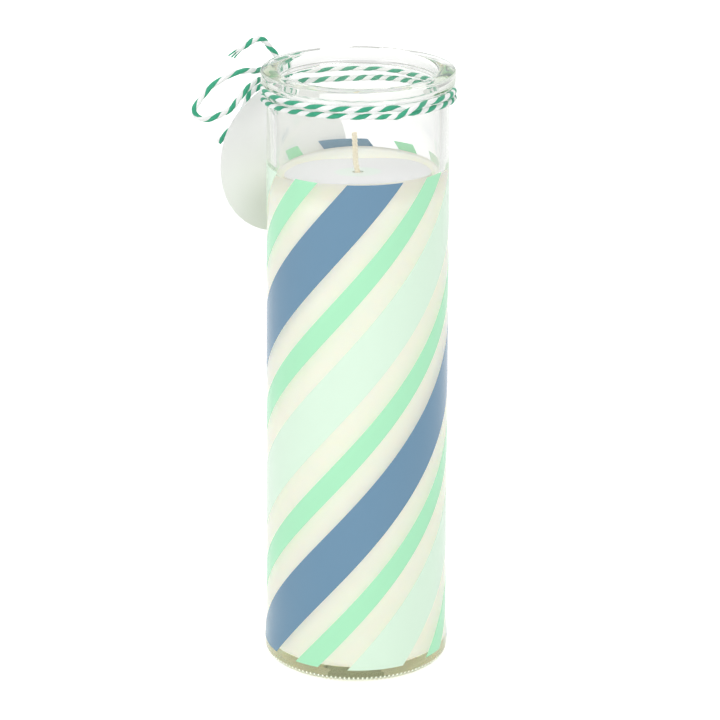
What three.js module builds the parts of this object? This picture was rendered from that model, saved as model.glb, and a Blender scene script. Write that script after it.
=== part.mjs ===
// Striped jar candle: a glass tube filled with wax, with helical stripes printed on the outside,
// a wick on its metal foot, a paper dust cover, and a twine bow that carries a card tag.
// Millimetres, +Z up, origin at the centre of the ring that the jar stands on. The front is -Y.
import * as THREE from 'three';
import { mergeVertices } from 'three/addons/utils/BufferGeometryUtils.js';

// Clearance that stands for pieces that touch on the real candle.
const seat = 0.3;

// Glass jar
const jarHeight = 204.5;
const neckRadius = 29.6;
const wallTaper = 0.75;
const heelSwell = 0.6;
const heelHeight = 3.8;
const heelFade = 20;
const standInset = 10.1;
const standWidth = 3;
const pushUp = 2.5;
const wall = 3;
const floorThickness = 5.5;
const floorCorner = 3.5;
const beadHeight = 4.9;
const beadOverhang = 1.9;
const beadInset = 1;
const beadCorner = 0.8;
const crownRise = 0.3;
const mouthCorner = 1.3;
const mouthSlope = 1.5;
const jarSides = 60;

// Printed stripes: one turn of a stripe climbs the lead, and its widths are measured upright.
const printBottom = 6.2;
const printTop = 173.4;
const printThickness = 0.25;
const printGap = 0.15;
const stripeCount = 8;
const stripeLead = 224;
const wideStripe = 22.2;
const narrowStripe = 10.2;
const stripeFrontHeight = 54.4;
const stripeLevels = 27;

// Wax: it set at a slant, higher at the front and a little to the right.
const waxTop = 169.3;
const waxCreep = 1.7;
const waxCreepWidth = 2.2;
const waxSlant = THREE.MathUtils.degToRad(5);
const waxSlantYaw = THREE.MathUtils.degToRad(16);
const waxSides = 48;

// Wick, its metal foot and the pad that sticks the foot to the glass
const wickWidth = 1.7;
const wickThickness = 1;
const wickShown = 13.7;
const wickLean = 1.2;
const wickBendHeight = 4;
const wickBore = 1.35;
const footPlateRadius = 10;
const footPlateThickness = 0.4;
const crimpRadius = 2;
const crimpHeight = 6;
const padRadius = 9;
const padThickness = 0.8;

// Paper dust cover
const coverMargin = 0.2;
const coverThickness = 0.4;
const coverHole = 2.4;

// Twine: two turns under the bead, tied behind the left of the neck
const twineDiameter = 1.8;
const twineSides = 8;

// Card tag: it hangs on the twine, flat against the back of the jar
const tagYaw = THREE.MathUtils.degToRad(25);
const tagThickness = 0.6;
const tagHalfWidth = 22.8;
const tagShoulder = 28.6;
const tagBelly = 24;
const tagHoleRadius = 2.2;
const tagHoleDrop = 4.1;
const tagHoleBelowBead = 8.1;
const tagHoleAlong = -12.8;

// Bow knot: the twine wrapped round itself, its length lying along the tag
const knotAlong = -13.2;
const knotBelowBead = 2.6;
const knotWraps = 3;
const knotRadius = 1.9;
const knotLength = 5;

const colours = {
  glass: 0xdfe9e2, wax: 0xf2eedb, blue: 0x7a9cb6, pale: 0xe2f9e6, mint: 0xb4f0c9, wick: 0xf1dfbc,
  tin: 0xb8babd, pad: 0xf4f4f0, cover: 0xf0efee, twine: 0x8fd0b4, card: 0xeeefec,
};

const candle = new THREE.Group();
candle.name = 'striped_jar_candle';

function addPiece(name, geometry, colour, look = {}, parent = candle) {
  const material = new THREE.MeshStandardMaterial({ color: colour, roughness: 0.6, metalness: 0, ...look });
  const mesh = new THREE.Mesh(geometry, material);
  mesh.name = name;
  parent.add(mesh);
  return mesh;
}

// A turned piece: its profile is given as [radius, height] pairs and stands on +Z.
function turned(profile, sides) {
  const points = profile.map(([radius, height]) => new THREE.Vector2(radius, height));
  const geometry = new THREE.LatheGeometry(points, sides);
  geometry.rotateX(Math.PI / 2);
  return geometry;
}

// Points on part of an ellipse, as [radius, height] pairs. Angle 0 points outwards, 90 degrees up.
function arc(centreRadius, centreHeight, halfWidth, halfHeight, from, to, steps) {
  const points = [];
  for (let i = 0; i <= steps; i += 1) {
    const angle = THREE.MathUtils.degToRad(from + ((to - from) * i) / steps);
    points.push([
      centreRadius + halfWidth * Math.cos(angle),
      centreHeight + halfHeight * Math.sin(angle),
    ]);
  }
  return points;
}

// The jar's outer wall: a rounded heel, a swelling that fades out, then a slight taper to the neck.
const beadBottom = jarHeight - beadHeight;
const footRadius = neckRadius + wallTaper;
const heelRadius = footRadius + heelSwell;
const standRadius = heelRadius - standInset;

function taperRadius(height) {
  const share = (beadBottom - height) / (beadBottom - heelFade);
  return neckRadius + (footRadius - neckRadius) * share;
}

function outerRadius(height) {
  if (height < heelHeight) {
    const rise = 1 - height / heelHeight;
    return standRadius + (heelRadius - standRadius) * Math.sqrt(1 - rise * rise);
  }
  if (height < heelFade) {
    const share = (height - heelHeight) / (heelFade - heelHeight);
    const ease = 0.5 - 0.5 * Math.cos(Math.PI * share);
    return heelRadius + (taperRadius(heelFade) - heelRadius) * ease;
  }
  return taperRadius(height);
}

function innerRadius(height) {
  return taperRadius(height) - wall;
}

const heelSteps = 5;
const fadeSteps = 4;
const heelLevels = [];
for (let i = 1; i <= heelSteps; i += 1) {
  heelLevels.push(heelHeight * (1 - Math.cos((Math.PI / 2) * (i / heelSteps))));
}
for (let i = 1; i <= fadeSteps; i += 1) {
  heelLevels.push(heelHeight + ((heelFade - heelHeight) * i) / fadeSteps);
}

function makeJar() {
  const beadOuter = neckRadius + beadOverhang;
  const mouthRadius = innerRadius(beadBottom) - beadInset;
  const faceEdge = beadOuter - beadCorner;
  const mouthEdge = mouthRadius + mouthCorner;
  const crownEdge = jarHeight - crownRise;
  const standInner = standRadius - standWidth;
  const cornerHeight = floorThickness + floorCorner;
  const floorEdge = innerRadius(cornerHeight) - floorCorner;
  return turned([
    [0, pushUp],
    [standInner / 2, pushUp * 0.8],
    [standInner, 0],
    [standRadius, 0],
    ...heelLevels.map((height) => [outerRadius(height), height]),
    [neckRadius, beadBottom],
    ...arc(faceEdge, beadBottom + beadCorner, beadCorner, beadCorner, -90, 0, 3),
    ...arc(faceEdge, crownEdge - beadCorner, beadCorner, beadCorner, 0, 90, 3),
    [(faceEdge + mouthEdge) / 2, jarHeight],
    ...arc(mouthEdge, crownEdge - mouthCorner, mouthCorner, mouthCorner, 90, 180, 4),
    [mouthRadius, beadBottom],
    [innerRadius(beadBottom), beadBottom - mouthSlope],
    ...arc(floorEdge, cornerHeight, floorCorner, floorCorner, 0, -90, 5),
    [0, floorThickness],
  ], jarSides);
}

addPiece('glass_jar', makeJar(), colours.glass, { roughness: 0.05, transparent: true, opacity: 0.35 });

// A printed stripe: a thin band lofted up the jar, level by level, with level ends.
const straightLevels = Array.from({ length: stripeLevels }, (unused, i) => (
  heelFade + ((printTop - heelFade) * (i + 1)) / stripeLevels
));
const bandLevels = [
  printBottom,
  ...heelLevels.filter((height) => height > printBottom + seat),
  ...straightLevels,
];

function makeStripe(uprightWidth, index) {
  const turn = (2 * Math.PI) / stripeLead;
  const frontHeight = stripeFrontHeight + (stripeLead / stripeCount) * index;
  const arcSteps = Math.ceil(uprightWidth / 5);
  const ringPoints = 2 * (arcSteps + 1);
  const positions = [];
  bandLevels.forEach((height) => {
    const glass = outerRadius(height);
    const start = (height - frontHeight - uprightWidth / 2) * turn;
    for (let i = 0; i < ringPoints; i += 1) {
      const outside = i <= arcSteps;
      const step = outside ? i : ringPoints - 1 - i;
      const azimuth = start + (uprightWidth * turn * step) / arcSteps;
      const radius = glass + printGap + (outside ? printThickness : 0);
      positions.push(radius * Math.sin(azimuth), -radius * Math.cos(azimuth), height);
    }
  });
  const faces = [];
  const last = (bandLevels.length - 1) * ringPoints;
  for (let level = 0; level < bandLevels.length - 1; level += 1) {
    for (let i = 0; i < ringPoints; i += 1) {
      const a = level * ringPoints + i;
      const b = level * ringPoints + ((i + 1) % ringPoints);
      const outside = i <= arcSteps;
      // The quads lean with the stripe, so each is split along its short diagonal.
      if (outside) faces.push(a, b, a + ringPoints, b, b + ringPoints, a + ringPoints);
      else faces.push(a, b, b + ringPoints, a, b + ringPoints, a + ringPoints);
    }
  }
  for (let i = 0; i < arcSteps; i += 1) {
    const back = ringPoints - 1 - i;
    faces.push(i, back, i + 1, back, back - 1, i + 1);
    faces.push(last + i, last + i + 1, last + back, last + i + 1, last + back - 1, last + back);
  }
  const geometry = new THREE.BufferGeometry();
  geometry.setAttribute('position', new THREE.Float32BufferAttribute(positions, 3));
  geometry.setIndex(faces);
  geometry.computeVertexNormals();
  return geometry;
}

const stripeKinds = [
  { name: 'blue_stripe', width: wideStripe, colour: colours.blue },
  { name: 'mint_stripe', width: narrowStripe, colour: colours.mint },
  { name: 'pale_stripe', width: wideStripe, colour: colours.pale },
  { name: 'mint_stripe', width: narrowStripe, colour: colours.mint },
];
const stripesMade = {};
for (let i = 0; i < stripeCount; i += 1) {
  const kind = stripeKinds[i % stripeKinds.length];
  stripesMade[kind.name] = (stripesMade[kind.name] ?? 0) + 1;
  addPiece(`${kind.name}_${stripesMade[kind.name]}`, makeStripe(kind.width, i), kind.colour);
}

// The wick's foot stands on its pad, and the wax is poured round both.
const padBottom = floorThickness + seat;
const plateBottom = padBottom + padThickness + seat;
const plateTop = plateBottom + footPlateThickness;
const crimpTop = plateTop + crimpHeight;

addPiece('wick_pad', turned([
  [0, padBottom],
  [padRadius - seat, padBottom],
  [padRadius, padBottom + seat],
  [padRadius, padBottom + padThickness],
  [0, padBottom + padThickness],
], 24), colours.pad);

addPiece('wick_foot', turned([
  [wickBore, plateBottom],
  [footPlateRadius, plateBottom],
  [footPlateRadius, plateTop],
  [crimpRadius + footPlateThickness, plateTop],
  [crimpRadius, plateTop + footPlateThickness],
  [crimpRadius, crimpTop],
  [wickBore, crimpTop],
  [wickBore, plateBottom],
], 24), colours.tin, { roughness: 0.35, metalness: 1 });

const waxNormal = new THREE.Vector3(
  -Math.tan(waxSlant) * Math.sin(waxSlantYaw),
  Math.tan(waxSlant) * Math.cos(waxSlantYaw),
  1,
);

function makeWax() {
  const bottom = floorThickness + seat;
  const corner = floorCorner;
  const cornerHeight = bottom + corner;
  const edge = innerRadius(cornerHeight) - seat - corner;
  const topEdge = innerRadius(waxTop) - seat;
  const creep = [0.33, 0.66].map((share) => [
    topEdge - waxCreepWidth * share,
    waxTop + waxCreep * (1 - share) ** 2,
  ]);
  const geometry = turned([
    [footPlateRadius + seat, bottom],
    ...arc(edge, cornerHeight, corner, corner, -90, 0, 4),
    [topEdge, waxTop + waxCreep],
    ...creep,
    [topEdge - waxCreepWidth, waxTop],
    [wickBore, waxTop],
    [wickBore, crimpTop + seat],
    [crimpRadius + footPlateThickness + seat, crimpTop + seat],
    [crimpRadius + footPlateThickness + seat, plateTop + seat],
    [footPlateRadius + seat, plateTop + seat],
    [footPlateRadius + seat, bottom],
  ], waxSides);
  const corners = geometry.attributes.position;
  for (let i = 0; i < corners.count; i += 1) {
    const height = corners.getZ(i);
    if (height < waxTop - seat) continue;
    corners.setZ(i, height - waxNormal.x * corners.getX(i) - waxNormal.y * corners.getY(i));
  }
  return geometry;
}

addPiece('wax_fill', makeWax(), colours.wax);

// The wick is a flat braid: its front outline is cut to the bend above the wax, then given its depth.
function makeWick() {
  const half = wickWidth / 2;
  const bend = waxTop + wickBendHeight;
  const tip = waxTop + wickShown;
  const bendShift = -wickLean * 0.65;
  const outline = new THREE.Shape();
  outline.moveTo(-half, plateBottom);
  outline.lineTo(half, plateBottom);
  outline.lineTo(half, waxTop);
  outline.lineTo(half + bendShift, bend);
  outline.lineTo(half - wickLean, tip);
  outline.lineTo(-half - wickLean, tip);
  outline.lineTo(-half + bendShift, bend);
  outline.lineTo(-half, waxTop);
  const geometry = new THREE.ExtrudeGeometry(outline, { depth: wickThickness, bevelEnabled: false });
  geometry.translate(0, 0, -wickThickness / 2);
  geometry.rotateX(Math.PI / 2);
  return geometry;
}

addPiece('wick', makeWick(), colours.wick, { roughness: 0.9 });

const coverRadius = innerRadius(waxTop) - seat - waxCreepWidth - coverMargin;
const cover = addPiece('dust_cover', turned([
  [coverHole, 0],
  [coverRadius, 0],
  [coverRadius, coverThickness],
  [coverHole, coverThickness],
  [coverHole, 0],
], waxSides), colours.cover, { roughness: 0.95 });
cover.position.z = waxTop + seat;
cover.quaternion.setFromUnitVectors(new THREE.Vector3(0, 0, 1), waxNormal.clone().normalize());

// The tag's own frame: along the card, outwards from the jar, and up.
const tagHoleHeight = beadBottom - tagHoleBelowBead;
const tagMiddle = taperRadius(tagHoleHeight - tagShoulder - tagBelly)
  + printGap + printThickness + seat + tagThickness / 2;

function fromTag(along, outwards, up) {
  const c = Math.cos(tagYaw);
  const s = Math.sin(tagYaw);
  return new THREE.Vector3(along * c - outwards * s, along * s + outwards * c, up);
}

function makeTag() {
  const top = tagHoleDrop;
  const widest = top - tagShoulder;
  const bottom = widest - tagBelly;
  const w = tagHalfWidth;
  const card = new THREE.Shape();
  card.moveTo(0, top);
  card.bezierCurveTo(w * 0.58, top - tagShoulder * 0.16, w, widest + tagShoulder * 0.52, w, widest);
  card.bezierCurveTo(w, widest - tagBelly * 0.6, w * 0.57, bottom, 0, bottom);
  card.bezierCurveTo(-w * 0.57, bottom, -w, widest - tagBelly * 0.6, -w, widest);
  card.bezierCurveTo(-w, widest + tagShoulder * 0.52, -w * 0.58, top - tagShoulder * 0.16, 0, top);
  const hole = new THREE.Path();
  hole.absarc(0, 0, tagHoleRadius, 0, 2 * Math.PI, false);
  card.holes.push(hole);
  const geometry = new THREE.ExtrudeGeometry(card, {
    depth: tagThickness, bevelEnabled: false, curveSegments: 12,
  });
  geometry.translate(0, 0, -tagThickness / 2);
  return geometry;
}

const tag = addPiece('hang_tag', makeTag(), colours.card, { roughness: 0.9 }, new THREE.Group());
tag.rotation.x = Math.PI / 2;
tag.parent.rotation.z = tagYaw;
tag.parent.position.copy(fromTag(tagHoleAlong, tagMiddle, tagHoleHeight));
candle.add(tag.parent);

// A length of twine along a smooth route.
function twine(points, steps) {
  const route = new THREE.CatmullRomCurve3(points, false, 'centripetal');
  const section = new THREE.Shape();
  for (let i = 0; i < twineSides; i += 1) {
    const angle = (2 * Math.PI * i) / twineSides;
    const x = (twineDiameter / 2) * Math.cos(angle);
    const y = (twineDiameter / 2) * Math.sin(angle);
    if (i === 0) section.moveTo(x, y);
    else section.lineTo(x, y);
  }
  return new THREE.ExtrudeGeometry(section, { steps, extrudePath: route, bevelEnabled: false });
}

// The least gap between two stretches of one route that lie more than reach apart along it.
function leastGap(points, steps, reach) {
  const route = new THREE.CatmullRomCurve3(points, false, 'centripetal');
  const samples = route.getSpacedPoints(steps);
  const spacing = route.getLength() / steps;
  let least = Infinity;
  for (let i = 0; i < samples.length; i += 1) {
    for (let j = i + Math.ceil(reach / spacing); j < samples.length; j += 1) {
      least = Math.min(least, samples[i].distanceTo(samples[j]));
    }
  }
  return least - twineDiameter;
}

// The tag hangs on the stretch of twine that goes straight through its hole, and the knot is tied
// over the tag's top. Both places are in the tag's frame.
const holePlace = [
  tagHoleAlong,
  tagMiddle,
  tagHoleHeight + tagHoleRadius - seat - twineDiameter / 2,
];
const knotPlace = [
  knotAlong,
  tagMiddle + tagThickness / 2 + 2 * seat + knotRadius,
  beadBottom - knotBelowBead,
];

function near(place, along, outwards, up) {
  return fromTag(place[0] + along, place[1] + outwards, place[2] + up);
}

// Both turns round the neck. The first starts at the knot and runs round the front just under the
// bead. At the right of the front the second turn climbs over it, so that the first is the lower one
// at the back, where it goes in through the tag's hole. The second comes back above it to the knot.
const turnRadius = neckRadius + seat + twineDiameter / 2;
const turnTop = beadBottom - seat - twineDiameter / 2;

// A point beside the neck: degrees round from the tag's middle, how far off the glass, and how far
// up from the highest line of twine.
function onNeck(degrees, off, up) {
  const azimuth = THREE.MathUtils.degToRad(degrees);
  const radius = turnRadius + off;
  return fromTag(radius * Math.sin(azimuth), radius * Math.cos(azimuth), turnTop + up);
}

// A turn's points: [degrees round from the front, how far off the glass, how far down].
function turnPoints(places) {
  return places.map(([degrees, off, down]) => {
    const azimuth = THREE.MathUtils.degToRad(degrees);
    const radius = turnRadius + off;
    return new THREE.Vector3(radius * Math.sin(azimuth), -radius * Math.cos(azimuth), turnTop - down);
  });
}

const firstTurn = turnPoints([
  [-96, 0, 0.15], [-80, 0, 0.05], [-60, 0, 0], [-40, 0, 0], [-20, 0, 0], [0, 0, 0], [14, 0, 0.02],
  [21, 0, 0.05], [24.2, 0, 0.35], [27.5, 0, 1.15], [30.8, 0, 1.95], [34, 0, 2.25], [41, 0, 2.3],
  [50, 0, 2.35], [60, 0, 2.5], [75, 0, 3], [90, 0, 3.5], [110, 0, 4], [130, 0, 4.25], [150, 0, 4.3],
  [165, 0, 4.4], [180, 0, 4.8],
]);
const secondTurn = turnPoints([
  [-70, 0, 3.25], [-60, 0, 3.05], [-50, 0, 2.85], [-40, 0, 2.65], [-25, 0, 2.4], [-10, 0, 2.3],
  [2, 0, 2.3], [8, 0, 2.3], [12, 0.25, 2.3], [16, 1, 2.33], [20, 1.9, 2.32], [24, 2.2, 1.98],
  [27.5, 2.25, 1.15], [31, 2.2, 0.32], [35, 1.9, 0], [39, 1, 0], [43, 0.25, 0], [48, 0, 0.05],
  [56, 0, 0.2], [66, 0, 0.5], [75, 0, 0.85], [90, 0, 1.35], [110, 0, 1.8], [130, 0, 2.05],
  [145, 0, 1.8], [157, 0, 1.4], [170, 0, 1.3], [183, 0, 1.35], [195, 0, 1.3],
]);
const neckRoute = [
  near(knotPlace, -2.8, 0, 0.1),
  near(knotPlace, -4.2, -0.3, 0.2),
  near(knotPlace, -5.8, -2.2, 0.3),
  onNeck(-37.5, 3.7, -0.9),
  onNeck(-47, 1.5, -0.6),
  ...firstTurn,
  onNeck(16, 0.3, -5),
  onNeck(7.1, 1.5, -5.2),
  onNeck(-0.8, 3, -5.5),
  near(holePlace, 7.8, 3.9, 0.4),
  near(holePlace, 3.6, 3.6, 0.2),
  near(holePlace, 0.8, 2.3, 0),
  near(holePlace, 0, 0, 0),
  near(holePlace, -0.7, -1.8, 0),
  onNeck(-31, 0.6, -5.8),
  onNeck(-39.8, 0.2, -5.5),
  onNeck(-51, 0, -4.9),
  onNeck(-65, 0, -4.1),
  ...secondTurn,
  onNeck(2, 0, -1.3),
  onNeck(-5, 0.1, -1.2),
  onNeck(-10.9, 1.1, -0.9),
  near(knotPlace, 5.5, -1, 0.7),
  near(knotPlace, 4.2, -0.2, 0.5),
  near(knotPlace, 2.8, 0, 0.2),
];
const neckSteps = 150;
console.log('neck twine, least gap to itself', leastGap(neckRoute, 900, 9).toFixed(2), 'mm');
addPiece('neck_twine', twine(neckRoute, neckSteps), colours.twine, { roughness: 0.95 });

// The knot: wraps of twine side by side round the two turns' ends.
function makeKnot() {
  const pitch = (knotLength - twineDiameter) / (knotWraps - 1);
  const profile = [[0, -knotLength / 2]];
  for (let wrap = 0; wrap < knotWraps; wrap += 1) {
    const centre = (wrap - (knotWraps - 1) / 2) * pitch;
    const core = knotRadius - twineDiameter / 2;
    profile.push(...arc(core, centre, twineDiameter / 2, twineDiameter / 2, -60, 60, 3));
  }
  profile.push([0, knotLength / 2]);
  return turned(profile, 16);
}

const knot = addPiece('bow_knot', makeKnot(), colours.twine, { roughness: 0.95 }, new THREE.Group());
knot.rotation.y = Math.PI / 2;
knot.parent.rotation.z = tagYaw;
knot.parent.position.copy(fromTag(...knotPlace));
candle.add(knot.parent);

// The free twine: one loop that droops to the left in front of the tag's plane, a tail that stands
// up in an arch, and a tail that hangs behind the tag. Points are [along, outwards, up] from the knot.
const loopRoute = [
  [-1.4, 2.5, 0.6], [-2.0, 3.4, 0.5], [-3.6, 3.8, 0.3], [-5.8, 2.8, 0.2], [-8.8, 0.1, 0.9],
  [-12.3, -2.8, 2.0], [-17.5, -3.8, 1.9], [-22.6, -4.6, 0.3], [-26.6, -4.8, -1.8],
  [-30.2, -4.8, -5.6], [-32.3, -4.9, -8.7], [-31.4, -5.5, -11.0], [-28.4, -6.2, -11.9],
  [-24.7, -6.8, -11.0], [-20.2, -7.0, -9.0], [-17.0, -6.8, -5.7], [-13.9, -5.8, -3.3],
  [-10.1, -3.8, -1.8], [-7.0, -0.4, -2.1], [-4.4, 2.2, -2.4], [-2.1, 3.2, -2.6],
  [-0.8, 2.8, -2.3], [-0.4, 1.9, -1.7],
];
const upperTailRoute = [
  [-0.2, 0.8, 2.1], [-0.3, 0.8, 3.6], [-0.9, 0.5, 5.4], [-2.8, 0.6, 7.9], [-4.4, 0.8, 10.1],
  [-6.2, 0.9, 11.3], [-8.2, 1.1, 11.1], [-10.1, 1.2, 10.1], [-12.6, 1.6, 8.7], [-14.9, 1.8, 7.1],
  [-16.6, 1.9, 5.8],
];
const lowerTailRoute = [
  [-1.4, 0.0, -2.3], [-2.0, 0.3, -3.2], [-3.8, 1.0, -4.1], [-6.5, 1.8, -5.2], [-9.6, 2.4, -7.4],
  [-10.8, 2.4, -9.8], [-12.9, 2.3, -14.2], [-15.6, 2.2, -17.6], [-18.0, 2.1, -19.8], [-21.0, 2.1, -22.5],
];

function freeTwine(name, route, steps) {
  const points = route.map((point) => near(knotPlace, ...point));
  const length = new THREE.CatmullRomCurve3(points, false, 'centripetal').getLength();
  console.log(name, 'length', length.toFixed(1), 'mm');
  addPiece(name, twine(points, steps), colours.twine, { roughness: 0.95 });
}

freeTwine('bow_loop', loopRoute, 34);
freeTwine('upper_tail', upperTailRoute, 14);
freeTwine('lower_tail', lowerTailRoute, 14);

// One body per mesh: shared corners are merged so that each surface closes on itself.
candle.traverse((piece) => {
  if (!piece.isMesh) return;
  piece.geometry.deleteAttribute('normal');
  piece.geometry.deleteAttribute('uv');
  piece.geometry = mergeVertices(piece.geometry, 1e-4);
  piece.geometry.computeVertexNormals();
});

export default candle;
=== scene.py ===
import math

import bmesh
import bpy
from mathutils import Matrix, Vector


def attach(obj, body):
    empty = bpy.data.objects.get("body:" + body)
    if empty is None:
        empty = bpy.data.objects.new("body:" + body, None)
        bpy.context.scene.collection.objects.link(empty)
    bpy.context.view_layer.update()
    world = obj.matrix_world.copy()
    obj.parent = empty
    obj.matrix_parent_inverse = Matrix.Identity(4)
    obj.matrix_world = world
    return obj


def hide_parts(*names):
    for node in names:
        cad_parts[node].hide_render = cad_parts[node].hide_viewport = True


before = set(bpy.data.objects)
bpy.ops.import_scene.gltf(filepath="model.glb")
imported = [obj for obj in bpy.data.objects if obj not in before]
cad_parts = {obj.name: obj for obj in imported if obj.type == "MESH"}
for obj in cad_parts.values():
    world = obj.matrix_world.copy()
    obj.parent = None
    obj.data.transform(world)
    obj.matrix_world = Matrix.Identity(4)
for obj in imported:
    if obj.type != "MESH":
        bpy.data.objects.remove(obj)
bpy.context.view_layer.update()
mm = 0.001


# The camera stands where the photograph was taken from.
camera = {
    "distance": 1.0,      # from the jar's axis, in metres
    "height": 0.4494,
    "pitch": 19.01,       # degrees down
    "yaw": 0.054,
    "roll": 0.26,
    "lens": 159.35,
    "sensor": 36,
}


def placeCamera():
    lens = bpy.data.cameras.new("candleCamera")
    lens.lens = camera["lens"]
    lens.sensor_width = camera["sensor"]
    lens.clip_start = 0.05
    eye = bpy.data.objects.new("candleCamera", lens)
    bpy.context.scene.collection.objects.link(eye)
    turn = (
        Matrix.Rotation(math.radians(-camera["yaw"]), 4, "Z")
        @ Matrix.Rotation(math.radians(90 - camera["pitch"]), 4, "X")
        @ Matrix.Rotation(math.radians(camera["roll"]), 4, "Z")
    )
    eye.matrix_world = Matrix.Translation((0, -camera["distance"], camera["height"])) @ turn
    bpy.context.scene.camera = eye


placeCamera()
print("camera placed")


# Helpers that several pieces share
def deselectAll():
    if bpy.context.object and bpy.context.object.mode != "OBJECT":
        bpy.ops.object.mode_set(mode="OBJECT")
    bpy.ops.object.select_all(action="DESELECT")


def pick(piece):
    deselectAll()
    piece.select_set(True)
    bpy.context.view_layer.objects.active = piece


def settle(piece):  # the place goes into the mesh, so that the object sits at the origin
    pick(piece)
    bpy.ops.object.transform_apply(location=True, rotation=True, scale=True)


def choose(piece, test):  # selects vertices by a test on each
    for part in (*piece.data.edges, *piece.data.polygons):
        part.select = False
    for vertex in piece.data.vertices:
        vertex.select = test(vertex)
    bpy.ops.object.mode_set(mode="EDIT")
    bpy.ops.mesh.select_mode(type="VERT")
    bpy.ops.object.mode_set(mode="OBJECT")


def colour(red, green, blue):  # a colour as seen on a screen, 0 to 255
    values = []
    for part in (red, green, blue):
        part /= 255
        values.append(part / 12.92 if part <= 0.04045 else ((part + 0.055) / 1.055) ** 2.4)
    return (*values, 1)


def newMaterial(name):
    material = bpy.data.materials.new(name)
    material.use_nodes = True
    return material, material.node_tree, material.node_tree.nodes["Principled BSDF"]


# Helpers for shader nodes: an input is given a value, or the output that feeds it.
def feed(node, inputs):
    for name, value in inputs.items():
        if isinstance(value, bpy.types.NodeSocket):
            node.id_data.links.new(value, node.inputs[name])
        else:
            node.inputs[name].default_value = value


def addNode(tree, kind, inputs=None, **settings):
    node = tree.nodes.new(f"ShaderNode{kind}")
    for name, value in settings.items():
        setattr(node, name, value)
    feed(node, inputs or {})
    return node


def calculate(tree, operation, *values):
    return addNode(tree, "Math", dict(enumerate(values)), operation=operation).outputs["Value"]


def blend(tree, share, first, second, kind="FLOAT"):
    inputs = {"Factor": share, "A": first, "B": second}
    return addNode(tree, "Mix", inputs, data_type=kind).outputs["Result"]


def blendShaders(tree, share, first, second):
    inputs = {"Fac": share, 1: first.outputs[0], 2: second.outputs[0]}
    return addNode(tree, "MixShader", inputs)


def spread(tree, value, start, end, low=0, high=1, **settings):  # start to end becomes low to high
    inputs = {"Value": value, "From Min": start, "From Max": end, "To Min": low, "To Max": high}
    return addNode(tree, "MapRange", inputs, **settings).outputs["Result"]


# Shader groups: a pattern of shade in a colour, and its relief
def newGroup(name, amount, others):
    group = bpy.data.node_groups.new(name, "ShaderNodeTree")
    inputs = [("Colour", "Color", None), ("Shade", "Color", None), ("Amount", "Float", amount)]
    for label, kind, value in inputs + others:
        socket = group.interface.new_socket(label, in_out="INPUT", socket_type=f"NodeSocket{kind}")
        if value is not None:
            socket.default_value = value
    for label, kind in (("Colour", "Color"), ("Relief", "Float")):
        group.interface.new_socket(label, in_out="OUTPUT", socket_type=f"NodeSocket{kind}")
    start = group.nodes.new("NodeGroupInput")
    end = group.nodes.new("NodeGroupOutput")
    return group, start.outputs, end


def endGroup(group, given, end, pattern, relief):
    share = calculate(group, "MULTIPLY", pattern, given["Amount"])
    shaded = blend(group, share, given["Colour"], given["Shade"], "RGBA")
    feed(end, {"Colour": shaded, "Relief": relief})
    return group


def makeGrainGroup():  # two sizes of noise: one tints the colour, one gives the relief
    sizes = [("Patch", "Float", 120), ("Grain", "Float", 1500)]
    group, given, end = newGroup("surfaceGrain", 0.2, sizes)
    place = addNode(group, "TexCoord").outputs["Object"]
    patch = addNode(group, "TexNoise", {"Vector": place, "Scale": given["Patch"], "Detail": 3})
    grain = addNode(group, "TexNoise", {"Vector": place, "Scale": given["Grain"], "Detail": 4})
    return endGroup(group, given, end, patch.outputs["Fac"], grain.outputs["Fac"])


def makeFibreGroup():  # streaks along a yarn, from its own map: millimetres along, share round
    group, given, end = newGroup("spunFibre", 0.6, [("Stretch", "Vector", (0.8, 9, 1))])
    place = addNode(group, "UVMap", uv_map="fibre").outputs["UV"]
    stretched = addNode(
        group, "VectorMath", {0: place, 1: given["Stretch"]}, operation="MULTIPLY"
    ).outputs["Vector"]
    noise = {"Vector": stretched, "Scale": 1, "Detail": 3, "Distortion": 0.3}
    streak = addNode(group, "TexNoise", noise).outputs["Fac"]
    return endGroup(group, given, end, spread(group, streak, 0.3, 0.7), streak)


grainGroup = makeGrainGroup()
fibreGroup = makeFibreGroup()


# Materials: what each one gives its group, its relief and its shader
fabricShader = {"Roughness": 0.9, "Sheen Weight": 0.3, "Sheen Roughness": 0.5}
twineLook = {
    "group": fibreGroup,
    "pattern": {},
    "relief": {"Strength": 0.6, "Distance": 0.00015},
    "shader": fabricShader,
}
braidLook = {
    "group": grainGroup,
    "pattern": {"Amount": 0.7, "Patch": 900, "Grain": 4200},
    "relief": {"Strength": 0.5, "Distance": 0.00012},
    "shader": fabricShader,
}
paperLook = {
    "group": grainGroup,
    "pattern": {"Amount": 0.5, "Patch": 60, "Grain": 2200},
    "relief": {"Strength": 0.12, "Distance": 0.0001},
    "shader": {"Roughness": 0.85, "Specular IOR Level": 0.25},
}
foamLook = {**paperLook, "pattern": {"Amount": 0.6, "Patch": 60, "Grain": 2200}}
tinLook = {
    "group": grainGroup,
    "pattern": {"Amount": 0.6, "Patch": 200, "Grain": 900},
    "relief": {"Strength": 0.08, "Distance": 0.0001},
    "shader": {"Metallic": 1, "Roughness": 0.35},
}
waxLook = {
    "group": grainGroup,
    "pattern": {"Amount": 0.5, "Patch": 45, "Grain": 500},
    "relief": {"Strength": 0.04, "Distance": 0.0002},
    "shader": {
        "Roughness": 0.5,
        "Subsurface Weight": 0.5,
        "Subsurface Radius": (1, 0.75, 0.5),
        "Subsurface Scale": 0.003,
        "Emission Color": colour(255, 244, 218),   # painted glow: the wax gives off a little light, in place of light that wanders through it
        "Emission Strength": 0.07,
    },
}
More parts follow.
